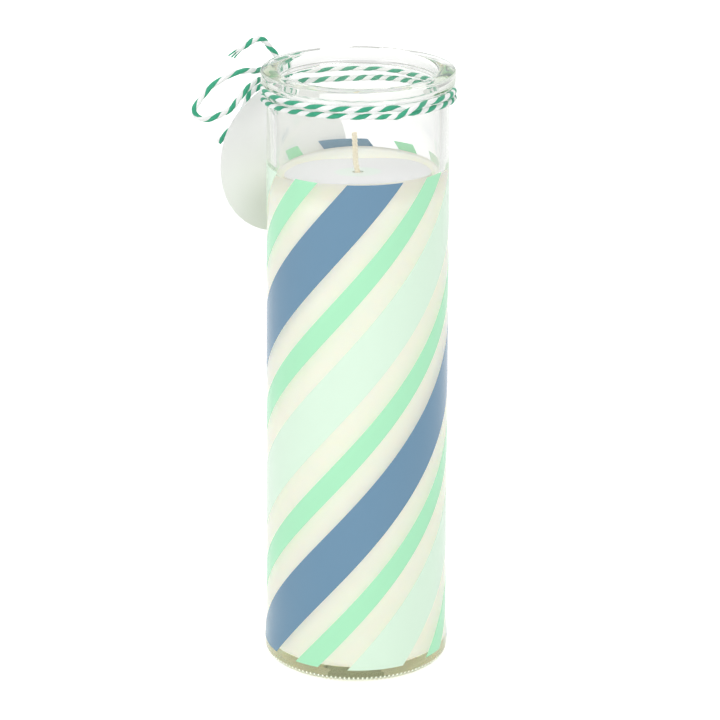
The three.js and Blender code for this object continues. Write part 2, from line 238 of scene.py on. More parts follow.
inkLook = {
    "group": grainGroup,
    "pattern": {"Amount": 0.25, "Patch": 70, "Grain": 900},
    "relief": {"Strength": 0.02, "Distance": 0.00005},
    "shader": {"Roughness": 0.2, "IOR": 1.5},
    "depth": 0.3,      # how strongly the ink colours the light that goes through it to the wax
}
middleSpot = {"radius": 8.2, "edge": 1.2, "spotTone": (236, 244, 238)}
glassLook = {
    "tint": (0.7, 0.76, 0.6, 1),     # what the thick glass lets through
    "density": 20,
    "shadow": (1, 1, 1, 1),
    "deepest": 7.5,                  # past so many bounces, light goes straight on
    "mirrored": 2.5,                 # and past so many mirrorings
    "lost": (0.8, 0.84, 0.795, 1),   # what such light keeps
    "glint": (0.97, 1, 0.95, 1),     # painted glint, given off by the knurl's facets in place of the light they catch
    "glintLevel": 0.7,
    "glintSpan": (0.55, 0.8),
}


def makeSurface(name, main, shade, look):
    material, tree, shader = newMaterial(name)
    pattern = {"Colour": colour(*main), "Shade": colour(*shade), **look["pattern"]}
    block = addNode(tree, "Group", pattern, node_tree=look["group"])
    bump = addNode(tree, "Bump", {**look["relief"], "Height": block.outputs["Relief"]})
    feed(shader, {"Base Color": block.outputs["Colour"], "Normal": bump.outputs["Normal"]})
    feed(shader, look["shader"])
    return material


def addMiddleSpot(material):  # a round, pale greenish spot in the middle of the paper
    tree = material.node_tree
    shader = tree.nodes["Principled BSDF"]
    bare = shader.inputs["Base Color"].links[0].from_socket
    place = addNode(tree, "TexCoord").outputs["Object"]
    flat = addNode(tree, "VectorMath", {0: place, 1: (1, 1, 0)}, operation="MULTIPLY")
    away = addNode(tree, "VectorMath", {0: flat.outputs["Vector"]}, operation="LENGTH")
    outer = middleSpot["radius"] * mm
    inner = outer - middleSpot["edge"] * mm
    spot = spread(tree, away.outputs["Value"], inner, outer, 1, 0)
    spotted = blend(tree, spot, bare, colour(*middleSpot["spotTone"]), "RGBA")
    feed(shader, {"Base Color": spotted})


def letLightIn(tree, shown, clear):  # light for shadows and for matt surfaces takes the clear path
    path = addNode(tree, "LightPath").outputs
    either = calculate(tree, "MAXIMUM", path["Is Shadow Ray"], path["Is Diffuse Ray"])
    mix = blendShaders(tree, either, shown, clear)
    feed(tree.nodes["Material Output"], {"Surface": mix.outputs["Shader"]})


def makeInk(name, main, shade):
    material = makeSurface(name, main, shade, inkLook)
    tree = material.node_tree
    tint = [1 - (1 - part) * inkLook["depth"] for part in colour(*main)[:3]]
    clear = addNode(tree, "BsdfTransparent", {"Color": (*tint, 1)})
    letLightIn(tree, tree.nodes["Principled BSDF"], clear)
    return material


def makeGlass():
    material, tree, shader = newMaterial("flintGlass")
    # A painted glint: the glass glows where the knurl's facets are marked.
    glintMask = addNode(tree, "Attribute", attribute_name="knurlGlint").outputs["Fac"]
    glint = spread(tree, glintMask, *glassLook["glintSpan"])
    feed(shader, {
        "Base Color": (1, 1, 1, 1),
        "Roughness": 0,
        "IOR": 1.5,
        "Transmission Weight": 1,
        "Emission Color": blend(tree, glint, (0, 0, 0, 1), glassLook["glint"], "RGBA"),
        "Emission Strength": glassLook["glintLevel"],
    })
    path = addNode(tree, "LightPath").outputs
    deep = calculate(tree, "GREATER_THAN", path["Ray Depth"], glassLook["deepest"])
    often = calculate(tree, "GREATER_THAN", path["Glossy Depth"], glassLook["mirrored"])
    faded = addNode(tree, "BsdfTransparent", {"Color": glassLook["lost"]})
    shown = blendShaders(tree, calculate(tree, "MAXIMUM", deep, often), shader, faded)
    # The clear path is for what is inside, because glass itself throws a hard shadow.
    letLightIn(tree, shown, addNode(tree, "BsdfTransparent", {"Color": glassLook["shadow"]}))
    tint = {"Color": glassLook["tint"], "Density": glassLook["density"]}
    body = addNode(tree, "VolumeAbsorption", tint)
    feed(tree.nodes["Material Output"], {"Volume": body.outputs["Volume"]})
    return material


twineWhite = makeSurface("twineWhite", (254, 254, 253), (236, 238, 237), twineLook)
twineGreen = makeSurface("twineGreen", (66, 178, 140), (36, 138, 102), twineLook)
braidCotton = makeSurface("braidCotton", (255, 247, 226), (238, 220, 186), braidLook)
tagCard = makeSurface("tagCard", (254, 253, 254), (245, 244, 243), paperLook)
coverPaper = makeSurface("coverPaper", (243, 242, 243), (234, 234, 234), paperLook)
addMiddleSpot(coverPaper)
blueInk = makeInk("blueInk", (104, 145, 174), (118, 153, 180))
mintInk = makeInk("mintInk", (174, 242, 198), (180, 245, 202))
paleInk = makeInk("paleInk", (224, 250, 228), (230, 252, 233))
jarGlass = makeGlass()
candleWax = makeSurface("candleWax", (251, 249, 235), (247, 243, 224), waxLook)
footTin = makeSurface("tinnedSteel", (186, 188, 190), (150, 152, 155), tinLook)
padFoam = makeSurface("padFoam", (240, 240, 236), (222, 222, 214), foamLook)
print("materials made")


# Twine: the routes repeat the model's, and two plies wind round them.
neck = {
    "radius": 29.6,
    "beadBottom": 199.6,
    "seat": 0.3,
}
tag = {
    "yaw": math.radians(25),
    "middle": 30.85,       # from the jar's axis to the middle of the card
    "holeAlong": -12.8,
    "hangHeight": 192.5,
}
knotPlace = (-13.2, 33.65, 197.0)
holePlace = (tag["holeAlong"], tag["middle"], tag["hangHeight"])
twine = {
    "diameter": 1.8,
    "radius": 0.98,        # the plies are squashed together, so the twine is nearly round
    "groove": 0.2,
    "pinch": 5,
    "facets": 12,
    "lay": 7.6,            # length of one full twist
    "step": 0.42,
    "spanSteps": 24,       # fine steps between two points of a route
    "rim": 0.01,           # the plies' flat sides lie this far off the twine's middle
}
turnRadius = neck["radius"] + neck["seat"] + twine["diameter"] / 2
turnTop = neck["beadBottom"] - neck["seat"] - twine["diameter"] / 2


def fromTag(along, outwards, up):
    c = math.cos(tag["yaw"])
    s = math.sin(tag["yaw"])
    return Vector((along * c - outwards * s, along * s + outwards * c, up)) * mm


def near(place, along, outwards, up):
    return fromTag(place[0] + along, place[1] + outwards, place[2] + up)


def onNeck(degrees, off, up):
    azimuth = math.radians(degrees)
    radius = turnRadius + off
    return fromTag(radius * math.sin(azimuth), radius * math.cos(azimuth), turnTop + up)


def turnPoints(places):  # degrees round from the front, how far off the glass, how far down
    points = []
    for degrees, off, down in places:
        azimuth = math.radians(degrees)
        radius = turnRadius + off
        place = (radius * math.sin(azimuth), -radius * math.cos(azimuth), turnTop - down)
        points.append(Vector(place) * mm)
    return points


firstTurn = turnPoints([
    (-96, 0, 0.15), (-80, 0, 0.05), (-60, 0, 0), (-40, 0, 0), (-20, 0, 0), (0, 0, 0), (14, 0, 0.02),
    (21, 0, 0.05), (24.2, 0, 0.35), (27.5, 0, 1.15), (30.8, 0, 1.95), (34, 0, 2.25), (41, 0, 2.3),
    (50, 0, 2.35), (60, 0, 2.5), (75, 0, 3), (90, 0, 3.5), (110, 0, 4), (130, 0, 4.25),
    (150, 0, 4.3), (165, 0, 4.4), (180, 0, 4.8),
])
secondTurn = turnPoints([  # it climbs over the first at the right of the front
    (-70, 0, 3.25), (-60, 0, 3.05), (-50, 0, 2.85), (-40, 0, 2.65), (-25, 0, 2.4), (-10, 0, 2.3),
    (2, 0, 2.3), (8, 0, 2.3), (12, 0.25, 2.3), (16, 1, 2.33), (20, 1.9, 2.32), (24, 2.2, 1.98),
    (27.5, 2.25, 1.15), (31, 2.2, 0.32), (35, 1.9, 0), (39, 1, 0), (43, 0.25, 0), (48, 0, 0.05),
    (56, 0, 0.2), (66, 0, 0.5), (75, 0, 0.85), (90, 0, 1.35), (110, 0, 1.8), (130, 0, 2.05),
    (145, 0, 1.8), (157, 0, 1.4), (170, 0, 1.3), (183, 0, 1.35), (195, 0, 1.3),
])
neckRoute = [
    near(knotPlace, -2.8, 0, 0.1),
    near(knotPlace, -4.2, -0.3, 0.2),
    near(knotPlace, -5.8, -2.2, 0.3),
    onNeck(-37.5, 3.7, -0.9),
    onNeck(-47, 1.5, -0.6),
    *firstTurn,
    onNeck(16, 0.3, -5),
    onNeck(7.1, 1.5, -5.2),
    onNeck(-0.8, 3, -5.5),
    near(holePlace, 7.8, 3.9, 0.4),
    near(holePlace, 3.6, 3.6, 0.2),
    near(holePlace, 0.8, 2.3, 0),
    near(holePlace, 0, 0, 0),
    near(holePlace, -0.7, -1.8, 0),
    onNeck(-31, 0.6, -5.8),
    onNeck(-39.8, 0.2, -5.5),
    onNeck(-51, 0, -4.9),
    onNeck(-65, 0, -4.1),
    *secondTurn,
    onNeck(2, 0, -1.3),
    onNeck(-5, 0.1, -1.2),
    onNeck(-10.9, 1.1, -0.9),
    near(knotPlace, 5.5, -1, 0.7),
    near(knotPlace, 4.2, -0.2, 0.5),
    near(knotPlace, 2.8, 0, 0.2),
]
loopOffsets = [
    (-1.4, 2.5, 0.6), (-2.0, 3.4, 0.5), (-3.6, 3.8, 0.3), (-5.8, 2.8, 0.2), (-8.8, 0.1, 0.9),
    (-12.3, -2.8, 2.0), (-17.5, -3.8, 1.9), (-22.6, -4.6, 0.3), (-26.6, -4.8, -1.8),
    (-30.2, -4.8, -5.6), (-32.3, -4.9, -8.7), (-31.4, -5.5, -11.0), (-28.4, -6.2, -11.9),
    (-24.7, -6.8, -11.0), (-20.2, -7.0, -9.0), (-17.0, -6.8, -5.7), (-13.9, -5.8, -3.3),
    (-10.1, -3.8, -1.8), (-7.0, -0.4, -2.1), (-4.4, 2.2, -2.4), (-2.1, 3.2, -2.6),
    (-0.8, 2.8, -2.3), (-0.4, 1.9, -1.7),
]
upperTailOffsets = [
    (-0.2, 0.8, 2.1), (-0.3, 0.8, 3.6), (-0.9, 0.5, 5.4), (-2.8, 0.6, 7.9), (-4.4, 0.8, 10.1),
    (-6.2, 0.9, 11.3), (-8.2, 1.1, 11.1), (-10.1, 1.2, 10.1), (-12.6, 1.6, 8.7), (-14.9, 1.8, 7.1),
    (-16.6, 1.9, 5.8),
]
lowerTailOffsets = [
    (-1.4, 0.0, -2.3), (-2.0, 0.3, -3.2), (-3.8, 1.0, -4.1), (-6.5, 1.8, -5.2), (-9.6, 2.4, -7.4),
    (-10.8, 2.4, -9.8), (-12.9, 2.3, -14.2), (-15.6, 2.2, -17.6),
    (-18.0, 2.1, -19.8), (-21.0, 2.1, -22.5),
]


# Distances along each length, in millimetres, where the green ply faces the front.
neckGreen = [
    33.4, 41.4, 50.2, 58.4, 67.2, 75, 82.2, 92.8, 98.8, 106.8, 114, 120.8, 127.6, 134.4, 141, 147.6,
    152.2, 158.2, 163.4, 169.4, 175.6, 182.8, 190.4, 198, 205.8, 213.4, 221, 228.7, 235.9, 242.9,
    250.1, 257.1, 264.5, 272.7, 279.7, 284.9, 293.5, 303.7, 312.7, 320.4, 328, 335.8, 343.5, 349.3,
    356.3, 365.1, 373.1, 381.9, 390.7,
]
loopGreen = [7.4, 17.4, 29.4, 38.8, 46.8, 53.6, 61, 68.2, 75.5]
upperTailGreen = [6.2, 11.2, 15.8, 21.6]
lowerTailGreen = [6, 10.6, 19, 27.2]


def fromKnot(offsets):
    return [near(knotPlace, *offset) for offset in offsets]


def roundedSpan(p0, p1, p2, p3, share):  # one span of a centripetal Catmull-Rom curve
    t0 = 0
    t1 = t0 + (p1 - p0).length ** 0.5
    t2 = t1 + (p2 - p1).length ** 0.5
    t3 = t2 + (p3 - p2).length ** 0.5
    t = t1 + (t2 - t1) * share
    a1 = p0 * ((t1 - t) / (t1 - t0)) + p1 * ((t - t0) / (t1 - t0))
    a2 = p1 * ((t2 - t) / (t2 - t1)) + p2 * ((t - t1) / (t2 - t1))
    a3 = p2 * ((t3 - t) / (t3 - t2)) + p3 * ((t - t2) / (t3 - t2))
    b1 = a1 * ((t2 - t) / (t2 - t0)) + a2 * ((t - t0) / (t2 - t0))
    b2 = a2 * ((t3 - t) / (t3 - t1)) + a3 * ((t - t1) / (t3 - t1))
    return b1 * ((t2 - t) / (t2 - t1)) + b2 * ((t - t1) / (t2 - t1))


def smoothRoute(points, step):  # the rounded curve through the points, in even steps
    ends = [2 * points[0] - points[1], *points, 2 * points[-1] - points[-2]]
    fine = []
    for i in range(1, len(ends) - 2):
        for j in range(twine["spanSteps"]):
            fine.append(roundedSpan(*ends[i - 1:i + 3], j / twine["spanSteps"]))
    fine.append(points[-1].copy())
    reach = [0]
    for before, after in zip(fine, fine[1:]):
        reach.append(reach[-1] + (after - before).length)
    count = max(8, round(reach[-1] / step))
    even = []
    at = 0
    for i in range(count + 1):
        goal = reach[-1] * i / count
        while at < len(fine) - 2 and reach[at + 1] < goal:
            at += 1
        share = (goal - reach[at]) / (reach[at + 1] - reach[at])
        even.append(fine[at].lerp(fine[at + 1], share))
    return even, reach[-1]


def carriedFrames(route):  # a direction across the route at each point, carried along without twist
    tangents = []
    for i in range(len(route)):
        ahead = route[min(i + 1, len(route) - 1)]
        behind = route[max(i - 1, 0)]
        tangents.append((ahead - behind).normalized())
    side = tangents[0].orthogonal().normalized()
    frames = []
    for tangent in tangents:
        side = (side - tangent * side.dot(tangent)).normalized()
        frames.append((side, tangent.cross(side)))
    return frames


def strand(name, points, radii, material, sides):  # a round strand along the points
    line = bpy.data.curves.new(name, "CURVE")
    line.dimensions = "3D"
    line.bevel_depth = 1
    line.bevel_resolution = sides
    line.use_fill_caps = True
    spline = line.splines.new("POLY")
    spline.points.add(len(points) - 1)
    for spot, point, radius in zip(spline.points, points, radii):
        spot.co = (*point, 1)
        spot.radius = radius
    piece = bpy.data.objects.new(name, line)
    bpy.context.scene.collection.objects.link(piece)
    pick(piece)
    bpy.ops.object.convert(target="MESH")
    piece = bpy.context.object
    piece.data.materials.clear()
    piece.data.materials.append(material)
    bpy.ops.object.shade_smooth()
    return piece


def joinPieces(name, parts):
    deselectAll()
    for part in parts:
        part.select_set(True)
    bpy.context.view_layer.objects.active = parts[0]
    bpy.ops.object.join()
    piece = bpy.context.object
    piece.name = name
    return piece


def plyRing():  # half a round outline, pinched where the plies meet
    ring = []
    for i in range(twine["facets"] + 1):
        angle = math.pi * (i / twine["facets"] - 0.5)
        radius = twine["radius"] * (1 - twine["groove"] * abs(math.sin(angle)) ** twine["pinch"])
        ring.append(((radius * math.cos(angle) + twine["rim"]) * mm, radius * math.sin(angle) * mm))
    return ring


def facingAngle(point, side, across):  # the turn at which a ply lies on the camera's side
    towards = bpy.context.scene.camera.matrix_world.translation - point
    return math.atan2(towards.dot(across), towards.dot(side))


def twistAlong(route, length, frames, greenAt):
    # Between two marks the green ply goes once round; past them the turns are one lay long.
    steps = len(route) - 1
    travelled = [length * i / steps / mm for i in range(steps + 1)]
    marks = []
    for turn, distance in enumerate(greenAt):
        i = min(steps, max(0, round(distance * mm / length * steps)))
        side, across = frames[i]
        angle = facingAngle(route[i], side, across) - 2 * math.pi * turn
        if marks:  # the nearest whole turn after the mark before it
            angle += 2 * math.pi * round((marks[-1][1] - 2 * math.pi - angle) / (2 * math.pi))
        marks.append((distance, angle))
    rate = -2 * math.pi / twine["lay"]
    angles = []
    for distance in travelled:
        if distance <= marks[0][0]:
            angles.append(marks[0][1] + rate * (distance - marks[0][0]))
        elif distance >= marks[-1][0]:
            angles.append(marks[-1][1] + rate * (distance - marks[-1][0]))
        else:
            at = 0
            while marks[at + 1][0] < distance:
                at += 1
            share = (distance - marks[at][0]) / (marks[at + 1][0] - marks[at][0])
            angles.append(marks[at][1] + (marks[at + 1][1] - marks[at][1]) * share)
    return angles, travelled


def makePly(name, route, frames, angles, travelled, material):
    outline = plyRing()
    shape = bmesh.new()
    rings = []
    for point, (side, across), angle in zip(route, frames, angles):
        outward = side * math.cos(angle) + across * math.sin(angle)
        aside = across * math.cos(angle) - side * math.sin(angle)
        rings.append([shape.verts.new(point + outward * u + aside * v) for u, v in outline])
    fibre = shape.loops.layers.uv.new("fibre")
    count = len(outline)
    for i, (ring, after) in enumerate(zip(rings, rings[1:])):
        for j in range(count):
            k = (j + 1) % count
            face = shape.faces.new((ring[j], ring[k], after[k], after[j]))
            places = ((i, j), (i, j + 1), (i + 1, j + 1), (i + 1, j))
            for loop, (row, column) in zip(face.loops, places):
                loop[fibre].uv = (travelled[row], column / count)
    shape.faces.new(list(reversed(rings[0])))
    shape.faces.new(rings[-1])
    bmesh.ops.recalc_face_normals(shape, faces=shape.faces)
    mesh = bpy.data.meshes.new(name)
    shape.to_mesh(mesh)
    shape.free()
    piece = bpy.data.objects.new(name, mesh)
    bpy.context.scene.collection.objects.link(piece)
    mesh.materials.append(material)
    pick(piece)
    bpy.ops.object.shade_smooth_by_angle(angle=math.radians(50))
    return piece


def layTwine(name, points, greenAt, frayed=False):
    route, length = smoothRoute(points, twine["step"] * mm)
    frames = carriedFrames(route)
    angles, travelled = twistAlong(route, length, frames, greenAt)
    whole = len(route)
    if frayed:  # the plies stop short of the end, and their yarns go on alone
        whole -= round(fray["length"] / twine["step"])
    plies = []
    for ply, material in enumerate((twineGreen, twineWhite)):
        turned = [angle + math.pi * ply for angle in angles[:whole]]
        plies.append(makePly(f"{name}Ply", route[:whole], frames, turned, travelled, material))
    if frayed:
        start = whole - fray["overlap"]
        plies += frayEnd(name, route[start:], frames[start:], angles[start])
    return joinPieces(name, plies), route, length


fray = {
    "length": 4.4,             # the opened part of the end
    "reach": ((1, 0.93, 0.84), (0.62, 0.5, 0.44)),   # how far the green and the white yarns go
    "radius": 0.36,
    "thinning": 0.3,
    "off": 0.55,               # from the twine's middle to a yarn's
    "apart": math.radians(62),
    "splay": 0.5,
    "stagger": 0.25,
    "overlap": 3,              # steps that the yarns share with the plies
}


def frayEnd(name, route, frames, angle):  # each ply opens into three yarns
    yarns = []
    for ply, material in enumerate((twineGreen, twineWhite)):
        for i, reach in enumerate(fray["reach"][ply]):
            spot = angle + math.pi * ply + fray["apart"] * (i - 1)
            last = max(3, round((len(route) - 1) * reach))
            line = []
            for j in range(last + 1):
                side, across = frames[j]
                outward = side * math.cos(spot) + across * math.sin(spot)
                share = j / (len(route) - 1)
                off = fray["off"] + fray["splay"] * (share + fray["stagger"] * i) * share
                line.append(route[j] + outward * off * mm)
            thinned = [1 - fray["thinning"] * j / last for j in range(last + 1)]
            radii = [fray["radius"] * share * mm for share in thinned]
            yarns.append(strand(f"{name}Yarn", line, radii, material, 2))
    return yarns


def dressTwine():
    around, route, length = layTwine("neckTwine", neckRoute, neckGreen)
    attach(around, "jar")
    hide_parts("neck_twine")
    loop, route, length = layTwine("bowLoop", fromKnot(loopOffsets), loopGreen)
    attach(loop, "jar")
    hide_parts("bow_loop")
    for name, node, offsets, greenAt, frayed in (
        ("upperTail", "upper_tail", upperTailOffsets, upperTailGreen, True),
        ("lowerTail", "lower_tail", lowerTailOffsets, lowerTailGreen, False),
    ):
        tail, route, length = layTwine(name, fromKnot(offsets), greenAt, frayed)
        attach(tail, "jar")
        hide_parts(node)


knot = {"radius": 1.15, "turns": 2.6, "length": 3.2, "points": 40, "green": [3]}


def dressKnot():  # the twine wound round its own ends
    points = []
    for i in range(knot["points"]):
        share = i / (knot["points"] - 1)
        angle = 2 * math.pi * knot["turns"] * share
        points.append(near(
            knotPlace,
            knot["length"] * (share - 0.5),
            knot["radius"] * math.cos(angle),
            knot["radius"] * math.sin(angle),
        ))
    wraps, _, _ = layTwine("bowKnot", points, knot["green"])
    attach(wraps, "jar")
    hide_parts("bow_knot")


dressTwine()
dressKnot()
print("twine laid")


# Glass jar
jar = {
    "height": 204.5,
    "sides": 256,
    "neck": 29.6,
    "foot": 30.35,
    "heel": 30.95,
    "heelHeight": 3.8,
    "heelFade": 20,
    "heelStart": 0.6,       # the first ring of the heel, in steps from its flat
    "stand": 20.85,
    "standWidth": 3,
    "standRound": ((0, 0.35), (0.5, 0.05), (1.2, 0)),   # its inner edge: inset and height
    "standFlat": 0.8,
    "hub": 1,
    "pushUp": 2.5,
    "pushUpCurve": 2.4,
    "wall": 3,
    "floor": 5.5,
    "floorCorner": 3.5,
    "bead": 4.9,
    "beadOverhang": 1.9,
    "beadInset": 1,
    "beadCorner": 0.8,
    "fillet": 0.45,
    "lip": 1,               # how far above the bead's foot the mouth begins to ease out
    "guard": 0.6,           # how close a straight part's first ring and its last are to its ends
    "wallGuard": 1,
    "cornerGuard": 0.5,
    "faceGuards": (1.6, 0.5),
    "middle": 110,
    "crownRise": 0.3,
    "mouthCorner": 1.3,
    "mouthSlope": 1.5,
    "steps": {"pushUp": 10, "heel": 12, "fade": 8, "crown": 6, "slope": 8},
    "knurl": 0.4,
    "knurlTop": 4.2,
    "knurlFade": 1.0,
    "knurlInset": 0.3,
    "facets": (2.5, 3.5),   # heights between which the knurl's facets get a painted glint
}
beadBottom = jar["height"] - jar["bead"]


def taperRadius(height):
    span = beadBottom - jar["heelFade"]
    return jar["neck"] + (jar["foot"] - jar["neck"]) * (beadBottom - height) / span


def outerRadius(height):
    if height < jar["heelHeight"]:
        rise = 1 - height / jar["heelHeight"]
        return jar["stand"] + (jar["heel"] - jar["stand"]) * math.sqrt(1 - rise * rise)
    if height < jar["heelFade"]:
        share = (height - jar["heelHeight"]) / (jar["heelFade"] - jar["heelHeight"])
        ease = 0.5 - 0.5 * math.cos(math.pi * share)
        return jar["heel"] + (taperRadius(jar["heelFade"]) - jar["heel"]) * ease
    return taperRadius(height)


def innerRadius(height):
    return taperRadius(height) - jar["wall"]


def roundedRings(radius, height, halfWidth, halfHeight, start, end, steps):
    rings = []
    for i in range(steps + 1):
        angle = math.radians(start + (end - start) * i / steps)
        rings.append((radius + halfWidth * math.cos(angle), height + halfHeight * math.sin(angle)))
    return rings


def turnRings(name, rings, sides, joined=False):  # a ring is drawn out and resized, step by step
    radius, height = rings[0]
    deselectAll()
    bpy.ops.mesh.primitive_circle_add(
        vertices=sides, radius=radius * mm, location=(0, 0, height * mm)
    )
    piece = bpy.context.object
    piece.name = name
    settle(piece)
    bpy.ops.object.mode_set(mode="EDIT")
    bpy.ops.mesh.select_all(action="SELECT")
    for nextRadius, nextHeight in rings[1:]:
        climb = (nextHeight - height) * mm
        bpy.ops.mesh.extrude_edges_move(TRANSFORM_OT_translate={"value": (0, 0, climb)})
        growth = nextRadius / radius
        bpy.ops.transform.resize(value=(growth, growth, 1), center_override=(0, 0, nextHeight * mm))
        radius, height = nextRadius, nextHeight
    if joined:  # the profile closes on itself
        bpy.ops.mesh.select_all(action="DESELECT")
        bpy.ops.mesh.select_non_manifold(extend=False)
        bpy.ops.mesh.bridge_edge_loops()
    else:
        bpy.ops.mesh.select_all(action="SELECT")
        bpy.ops.mesh.fill_holes(sides=0)
    bpy.ops.mesh.select_all(action="SELECT")
    bpy.ops.mesh.normals_make_consistent(inside=False)
    bpy.ops.object.mode_set(mode="OBJECT")
    bpy.ops.object.shade_smooth()
    return piece


def makeJar():
    steps = jar["steps"]
    standInner = jar["stand"] - jar["standWidth"]
    beadOuter = jar["neck"] + jar["beadOverhang"]
    mouth = innerRadius(beadBottom) - jar["beadInset"]
    faceEdge = beadOuter - jar["beadCorner"]
    mouthEdge = mouth + jar["mouthCorner"]
    crownEdge = jar["height"] - jar["crownRise"]
    cornerHeight = jar["floor"] + jar["floorCorner"]
    floorEdge = innerRadius(cornerHeight) - jar["floorCorner"]
    rings = [(jar["hub"], jar["pushUp"])]
    for i in range(1, steps["pushUp"]):
        drop = (i / steps["pushUp"]) ** jar["pushUpCurve"]
        rings.append((standInner * i / steps["pushUp"], jar["pushUp"] * (1 - drop)))
    rings += [(standInner + inset, height) for inset, height in jar["standRound"]]
    rings.append((jar["stand"] - jar["standFlat"], 0))
    for i in range(steps["heel"] + 1):
        turn = math.pi / 2 * (i + jar["heelStart"]) / (steps["heel"] + jar["heelStart"])
        height = jar["heelHeight"] * (1 - math.cos(turn))
        rings.append((outerRadius(height), height))
    for i in range(1, steps["fade"] + 1):
        height = jar["heelHeight"] + (jar["heelFade"] - jar["heelHeight"]) * i / steps["fade"]
        rings.append((outerRadius(height), height))
    # A straight wall needs a ring close to each end, or its smooth shading bends what is seen
    # through it.
    fillet = jar["fillet"]
    rise = (jar["heelFade"] + jar["guard"], jar["middle"], beadBottom - jar["wallGuard"])
    rings += [(outerRadius(height), height) for height in (*rise, beadBottom - fillet)]
    rings += roundedRings(jar["neck"] + fillet, beadBottom - fillet, fillet, fillet, 170, 100, 4)
    corner = jar["beadCorner"]
    rings += roundedRings(faceEdge, beadBottom + corner, corner, corner, -85, 0, 7)
    low, high = jar["faceGuards"]
    rings += [(beadOuter, beadBottom + low), (beadOuter, crownEdge - corner - high)]
    rings += roundedRings(faceEdge, crownEdge - corner, corner, corner, 0, 84, 7)
    for i in range(1, steps["crown"]):
        share = i / steps["crown"]
        radius = faceEdge + (mouthEdge - faceEdge) * share
        rings.append((radius, crownEdge + jar["crownRise"] * 4 * share * (1 - share)))
    corner = jar["mouthCorner"]
    rings += roundedRings(mouthEdge, crownEdge - corner, corner, corner, 90, 180, 9)
    rings += [(mouth, crownEdge - corner - jar["guard"]), (mouth, beadBottom + jar["lip"])]
    for i in range(1, steps["slope"] + 1):  # the mouth eases out to the wall below the bead
        share = i / steps["slope"]
        ease = 0.5 - 0.5 * math.cos(math.pi * share)
        height = beadBottom + jar["lip"] - (jar["lip"] + jar["mouthSlope"]) * share
        rings.append((mouth + (innerRadius(height) - mouth) * ease, height))
    fall = (beadBottom - jar["mouthSlope"] - jar["guard"], jar["middle"])
    for height in (*fall, cornerHeight + jar["cornerGuard"]):
        rings.append((innerRadius(height), height))
    corner = jar["floorCorner"]
    rings += roundedRings(floorEdge, cornerHeight, corner, corner, 0, -90, 12)
    rings += [(floorEdge - jar["guard"], jar["floor"]), (jar["hub"], jar["floor"])]
    piece = turnRings("jarGlass", rings, jar["sides"])
    # Every other spoke of the standing ring is lifted: the knurl that keeps it from sliding.
    glintMask = piece.data.attributes.new("knurlGlint", "FLOAT", "POINT")
    for vertex in piece.data.vertices:
        radius = math.hypot(vertex.co.x, vertex.co.y) / mm
        below = jar["knurlTop"] - vertex.co.z / mm
        if below < 0 or radius < standInner + jar["knurlInset"]:
            continue
        spoke = round(math.atan2(vertex.co.y, vertex.co.x) / (2 * math.pi) * jar["sides"])
        if spoke % 2:
            # Lifted spokes between these heights are marked for the painted glint.
            low, high = jar["facets"]
            if low < vertex.co.z / mm < high and radius > jar["stand"]:
                glintMask.data[vertex.index].value = 1
            vertex.co.z += jar["knurl"] * min(1, below / jar["knurlFade"]) * mm
    bpy.ops.object.shade_smooth_by_angle(angle=math.radians(30))
    piece.data.materials.append(jarGlass)
    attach(piece, "jar")
    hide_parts("glass_jar")


makeJar()
print("jar turned")


# Printed stripes
stripes = {
    "bottom": 6.2,
    "top": 173.4,
    "lead": 224,
    "count": 8,
    "wide": 22.2,
    "narrow": 10.2,
    "frontHeight": 54.4,
    "sunk": 0.01,
    "thickness": 0.06,
    "levels": 84,
}


def layStripe(name, width, index, material):  # an arc is drawn up the glass, turning as it climbs
    perHeight = 2 * math.pi / stripes["lead"]
    middle = stripes["frontHeight"] + stripes["lead"] / stripes["count"] * index
    height = stripes["bottom"]
    radius = outerRadius(height) - stripes["sunk"]
    start = (height - middle - width / 2) * perHeight
    steps = math.ceil(width)
    deselectAll()
    bpy.ops.mesh.primitive_circle_add(vertices=3, radius=radius * mm, location=(0, 0, height * mm))
    piece = bpy.context.object
    piece.name = name
    settle(piece)
    first = piece.data.vertices[0]
    first.co = (radius * mm * math.sin(start), -radius * mm * math.cos(start), height * mm)
    choose(piece, lambda vertex: vertex.index > 0)
    bpy.ops.object.mode_set(mode="EDIT")
    bpy.ops.mesh.delete(type="VERT")
    bpy.ops.mesh.select_all(action="SELECT")
    bpy.ops.mesh.spin(
        steps=steps, angle=-width * perHeight, center=(0, 0, height * mm), axis=(0, 0, 1)
    )
    bpy.ops.mesh.select_all(action="SELECT")
    for level in range(1, stripes["levels"] + 1):
        share = level / stripes["levels"]
        nextHeight = stripes["bottom"] + (stripes["top"] - stripes["bottom"]) * share
        nextRadius = outerRadius(nextHeight) - stripes["sunk"]
        climb = nextHeight - height
        bpy.ops.mesh.extrude_edges_move(TRANSFORM_OT_translate={"value": (0, 0, climb * mm)})
        growth = nextRadius / radius
        centre = (0, 0, nextHeight * mm)
        bpy.ops.transform.resize(value=(growth, growth, 1), center_override=centre)
        bpy.ops.transform.rotate(value=-climb * perHeight, orient_axis="Z", center_override=centre)
        height, radius = nextHeight, nextRadius
    bpy.ops.object.mode_set(mode="OBJECT")
    return finishStripe(piece, material)


def finishStripe(piece, material):
    pick(piece)
    bpy.ops.object.mode_set(mode="EDIT")
    bpy.ops.mesh.select_all(action="SELECT")
    bpy.ops.mesh.normals_make_consistent(inside=False)
    bpy.ops.object.mode_set(mode="OBJECT")
    middle = piece.data.polygons[len(piece.data.polygons) // 2]
    if middle.normal.dot(Vector((middle.center.x, middle.center.y, 0))) < 0:
        piece.data.flip_normals()
    shell = piece.modifiers.new("print", "SOLIDIFY")
    shell.thickness = stripes["thickness"] * mm
    shell.offset = 1
    bpy.ops.object.modifier_apply(modifier=shell.name)
    bpy.ops.object.shade_smooth_by_angle(angle=math.radians(40))
    piece.data.materials.append(material)
    return piece


